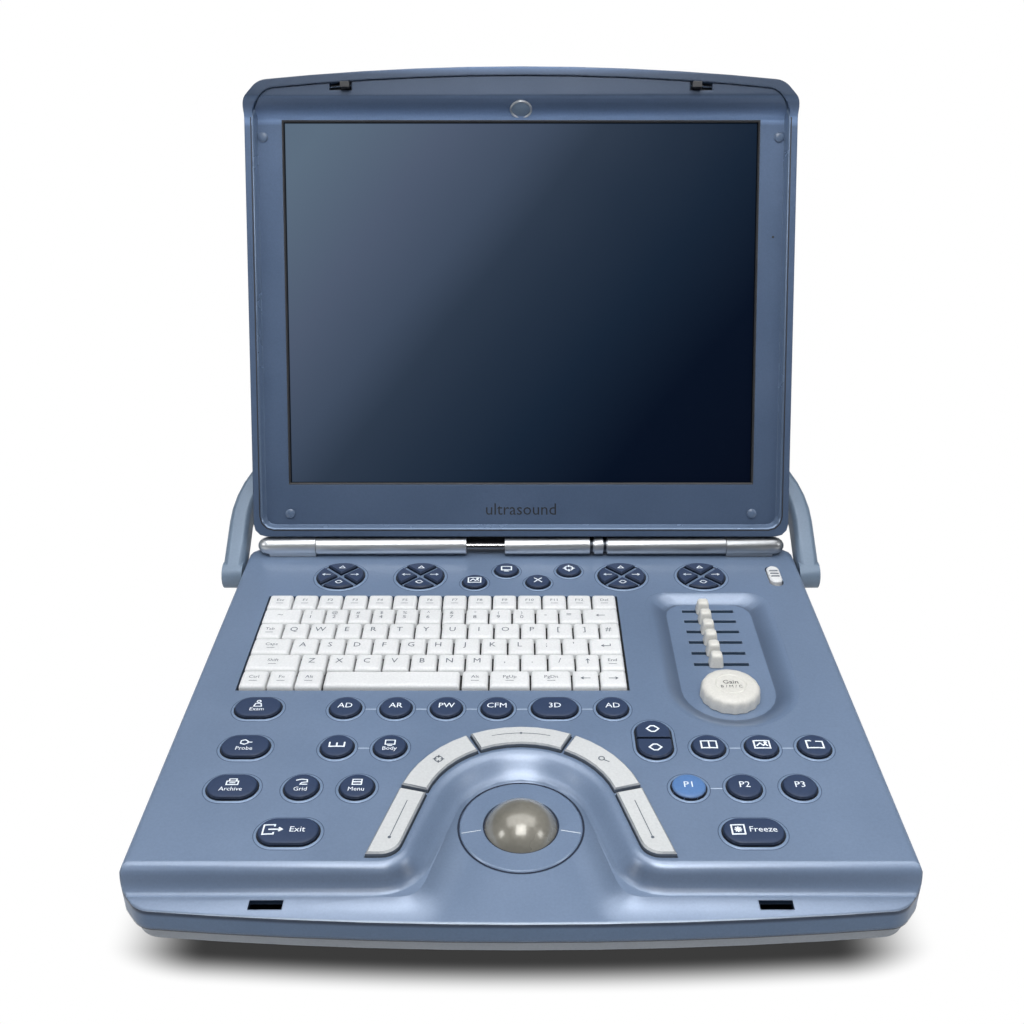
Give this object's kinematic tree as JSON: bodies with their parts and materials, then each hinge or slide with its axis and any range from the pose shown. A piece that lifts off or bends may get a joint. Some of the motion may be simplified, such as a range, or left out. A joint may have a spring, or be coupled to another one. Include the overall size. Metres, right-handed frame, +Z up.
{
  "type": "ultrasound scanner",
  "caption": "Laptop-style ultrasound scanner: folding screen lid, keyboard, gain sliders, trackball with arc keys and a carrying handle behind.",
  "frame": {"origin": "centre of the bounding box, at the feet's resting plane", "axes": "+X to the user's right, +Y to the rear, +Z up"},
  "size_m": [0.3832, 0.4212, 0.3327],
  "materials": {
    "panel_blue": "satin blue moulded plastic",
    "lid_blue": "satin dark blue moulded plastic",
    "tray_grey": "satin grey moulded plastic",
    "key_navy": "satin navy silicone and plastic keys",
    "key_white": "satin white keys",
    "ball_pearl": "polished pearly ball",
    "handle_blue": "satin blue moulded plastic",
    "hinge_silver": "satin silver",
    "steel": "turned steel",
    "dark_plastic": "dark moulded plastic",
    "rubber": "black rubber",
    "screen_glass": "dark liquid crystal screen",
    "board_green": "green circuit board"
  },
  "bodies": {
    "base": {"bottom_tray": "tray_grey", "top_panel": "panel_blue", "foot_front_left": "rubber", "foot_front_right": "rubber", "foot_rear_left": "rubber", "foot_rear_right": "rubber", "main_board": "board_green", "battery_pack": "dark_plastic", "hard_drive": "steel", "fan_housing": "dark_plastic", "probe_socket": "dark_plastic", "rear_connectors": "dark_plastic", "hinge_cap_left": "hinge_silver", "hinge_cap_right": "hinge_silver", "hinge_shaft": "steel", "handle_pin_left": "handle_blue", "handle_pin_right": "handle_blue", "trackball_ring": "panel_blue", "trackball_cup": "dark_plastic", "keyboard_tray": "dark_plastic", "slider_board": "board_green", "knob_encoder": "dark_plastic"},
    "lid": {"lid_cover": "lid_blue", "lid_bezel": "lid_blue", "lcd_panel": "screen_glass", "hinge_cover_left": "hinge_silver", "hinge_cover_right": "hinge_silver"},
    "handle": {"handle": "handle_blue"},
    "latch_hook_left_body": {"latch_hook_left": "dark_plastic"},
    "latch_hook_right_body": {"latch_hook_right": "dark_plastic"},
    "lid_release_body": {"lid_release": "dark_plastic"},
    "trackball_body": {"trackball": "ball_pearl"},
    "gain_knob_body": {"gain_knob": "key_white"},
    "fan_rotor_body": {"fan_rotor": "dark_plastic"},
    "power_switch_body": {"power_switch": "key_white"},
    "keyboard_keys_body": {"keyboard_keys": "key_white"},
    "space_bar_body": {"space_bar": "key_white"},
    "front_key_left_body": {"front_key_left": "key_navy"},
    "front_key_right_body": {"front_key_right": "key_navy"},
    "level_rocker_body": {"level_rocker": "key_navy"},
    "gain_slider_1_body": {"gain_slider_1": "key_white"},
    "gain_slider_2_body": {"gain_slider_2": "key_white"},
    "gain_slider_3_body": {"gain_slider_3": "key_white"},
    "gain_slider_4_body": {"gain_slider_4": "key_white"},
    "gain_slider_5_body": {"gain_slider_5": "key_white"},
    "gain_slider_6_body": {"gain_slider_6": "key_white"},
    "arc_key_lower_left_body": {"arc_key_lower_left": "key_white"},
    "arc_key_upper_left_body": {"arc_key_upper_left": "key_white"},
    "arc_key_top_body": {"arc_key_top": "key_white"},
    "arc_key_upper_right_body": {"arc_key_upper_right": "key_white"},
    "arc_key_lower_right_body": {"arc_key_lower_right": "key_white"},
    "rocker_pad_1_body": {"rocker_pad_1": "key_navy"},
    "rocker_pad_2_body": {"rocker_pad_2": "key_navy"},
    "rocker_pad_3_body": {"rocker_pad_3": "key_navy"},
    "rocker_pad_4_body": {"rocker_pad_4": "key_navy"},
    "mode_keypad_body": {"mode_keypad": "key_navy"},
    "left_wide_keypad_body": {"left_wide_keypad": "key_navy"},
    "left_round_keypad_body": {"left_round_keypad": "key_navy"},
    "right_keypad_body": {"right_keypad": "key_navy"},
    "menu_keypad_body": {"menu_keypad": "key_navy"}
  },
  "joints": [
    {"name": "lid_hinge", "type": "hinge", "parent": "base", "child": "lid", "pos_m": [0, 0.08682, 0.0522], "axis": [1, 0, 0], "range_deg": [-4, 112.5]},
    {"name": "handle_hinge", "type": "hinge", "parent": "base", "child": "handle", "pos_m": [0, 0.07282, 0.0385], "axis": [1, 0, 0], "range_deg": [-45, 0]},
    {"name": "lid_release_press", "type": "slide", "parent": "lid", "child": "lid_release_body", "axis": [0, -0.3827, -0.9239], "range_m": [0, 0.0015], "stiffness_N_per_m": 800, "springref_m": -0.001},
    {"name": "latch_hook_left_slide", "type": "slide", "parent": "lid", "child": "latch_hook_left_body", "axis": [-1, 0, 0], "range_m": [0, 0.0058]},
    {"name": "latch_hook_right_slide", "type": "slide", "parent": "lid", "child": "latch_hook_right_body", "axis": [1, 0, 0], "range_m": [0, 0.0058]},
    {"name": "trackball_roll", "type": "hinge", "parent": "base", "child": "trackball_body", "pos_m": [0, -0.15218, 0.029], "axis": [1, 0, 0], "continuous": true},
    {"name": "gain_knob_turn", "type": "hinge", "parent": "base", "child": "gain_knob_body", "pos_m": [0.1133, -0.05838, 0.0415], "axis": [0, 0, 1], "continuous": true},
    {"name": "fan_spin", "type": "hinge", "parent": "base", "child": "fan_rotor_body", "pos_m": [-0.118, 0.03682, 0.0065], "axis": [0, 0, 1], "continuous": true},
    {"name": "power_switch_slide", "type": "slide", "parent": "base", "child": "power_switch_body", "axis": [0, 1, 0], "range_m": [-0.002, 0.002]},
    {"name": "gain_slider_1_slide", "type": "slide", "parent": "base", "child": "gain_slider_1_body", "axis": [1, 0, 0], "range_m": [-0.0097, 0.0161]},
    {"name": "gain_slider_2_slide", "type": "slide", "parent": "base", "child": "gain_slider_2_body", "axis": [1, 0, 0], "range_m": [-0.0097, 0.0161]},
    {"name": "gain_slider_3_slide", "type": "slide", "parent": "base", "child": "gain_slider_3_body", "axis": [1, 0, 0], "range_m": [-0.0097, 0.0161]},
    {"name": "gain_slider_4_slide", "type": "slide", "parent": "base", "child": "gain_slider_4_body", "axis": [1, 0, 0], "range_m": [-0.0097, 0.0161]},
    {"name": "gain_slider_5_slide", "type": "slide", "parent": "base", "child": "gain_slider_5_body", "axis": [1, 0, 0], "range_m": [-0.0097, 0.0161]},
    {"name": "gain_slider_6_slide", "type": "slide", "parent": "base", "child": "gain_slider_6_body", "axis": [1, 0, 0], "range_m": [-0.0097, 0.0161]},
    {"name": "mode_keypad_press", "type": "slide", "parent": "base", "child": "mode_keypad_body", "axis": [0, 0, 1], "range_m": [-0.0012, 0], "stiffness_N_per_m": 600, "springref_m": 0.001},
    {"name": "left_wide_keypad_press", "type": "slide", "parent": "base", "child": "left_wide_keypad_body", "axis": [0, 0, 1], "range_m": [-0.0012, 0], "stiffness_N_per_m": 600, "springref_m": 0.001},
    {"name": "left_round_keypad_press", "type": "slide", "parent": "base", "child": "left_round_keypad_body", "axis": [0, 0, 1], "range_m": [-0.0012, 0], "stiffness_N_per_m": 600, "springref_m": 0.001},
    {"name": "right_keypad_press", "type": "slide", "parent": "base", "child": "right_keypad_body", "axis": [0, 0, 1], "range_m": [-0.0012, 0], "stiffness_N_per_m": 600, "springref_m": 0.001},
    {"name": "menu_keypad_press", "type": "slide", "parent": "base", "child": "menu_keypad_body", "axis": [0, 0, 1], "range_m": [-0.0012, 0], "stiffness_N_per_m": 600, "springref_m": 0.001},
    {"name": "rocker_pad_1_press", "type": "slide", "parent": "base", "child": "rocker_pad_1_body", "axis": [0, 0, 1], "range_m": [-0.0012, 0], "stiffness_N_per_m": 600, "springref_m": 0.001},
    {"name": "rocker_pad_2_press", "type": "slide", "parent": "base", "child": "rocker_pad_2_body", "axis": [0, 0, 1], "range_m": [-0.0012, 0], "stiffness_N_per_m": 600, "springref_m": 0.001},
    {"name": "rocker_pad_3_press", "type": "slide", "parent": "base", "child": "rocker_pad_3_body", "axis": [0, 0, 1], "range_m": [-0.0012, 0], "stiffness_N_per_m": 600, "springref_m": 0.001},
    {"name": "rocker_pad_4_press", "type": "slide", "parent": "base", "child": "rocker_pad_4_body", "axis": [0, 0, 1], "range_m": [-0.0012, 0], "stiffness_N_per_m": 600, "springref_m": 0.001},
    {"name": "arc_key_lower_left_press", "type": "slide", "parent": "base", "child": "arc_key_lower_left_body", "axis": [0, 0, 1], "range_m": [-0.0012, 0], "stiffness_N_per_m": 600, "springref_m": 0.001},
    {"name": "arc_key_upper_left_press", "type": "slide", "parent": "base", "child": "arc_key_upper_left_body", "axis": [0, 0, 1], "range_m": [-0.0012, 0], "stiffness_N_per_m": 600, "springref_m": 0.001},
    {"name": "arc_key_top_press", "type": "slide", "parent": "base", "child": "arc_key_top_body", "axis": [0, 0, 1], "range_m": [-0.0012, 0], "stiffness_N_per_m": 600, "springref_m": 0.001},
    {"name": "arc_key_upper_right_press", "type": "slide", "parent": "base", "child": "arc_key_upper_right_body", "axis": [0, 0, 1], "range_m": [-0.0012, 0], "stiffness_N_per_m": 600, "springref_m": 0.001},
    {"name": "arc_key_lower_right_press", "type": "slide", "parent": "base", "child": "arc_key_lower_right_body", "axis": [0, 0, 1], "range_m": [-0.0012, 0], "stiffness_N_per_m": 600, "springref_m": 0.001},
    {"name": "front_key_left_press", "type": "slide", "parent": "base", "child": "front_key_left_body", "axis": [0, 0, 1], "range_m": [-0.0012, 0], "stiffness_N_per_m": 600, "springref_m": 0.001},
    {"name": "front_key_right_press", "type": "slide", "parent": "base", "child": "front_key_right_body", "axis": [0, 0, 1], "range_m": [-0.0012, 0], "stiffness_N_per_m": 600, "springref_m": 0.001},
    {"name": "level_rocker_press", "type": "slide", "parent": "base", "child": "level_rocker_body", "axis": [0, 0, 1], "range_m": [-0.0012, 0], "stiffness_N_per_m": 600, "springref_m": 0.001},
    {"name": "keyboard_keys_press", "type": "slide", "parent": "base", "child": "keyboard_keys_body", "axis": [0, 0, 1], "range_m": [-0.002, 0], "stiffness_N_per_m": 1500, "springref_m": 0.002},
    {"name": "space_bar_press", "type": "slide", "parent": "base", "child": "space_bar_body", "axis": [0, 0, 1], "range_m": [-0.002, 0], "stiffness_N_per_m": 600, "springref_m": 0.001}
  ],
  "couplings": [
    {"joint": "latch_hook_left_slide", "follows": "lid_release_press", "ratio": 3.8667},
    {"joint": "latch_hook_right_slide", "follows": "lid_release_press", "ratio": 3.8667}
  ]
}
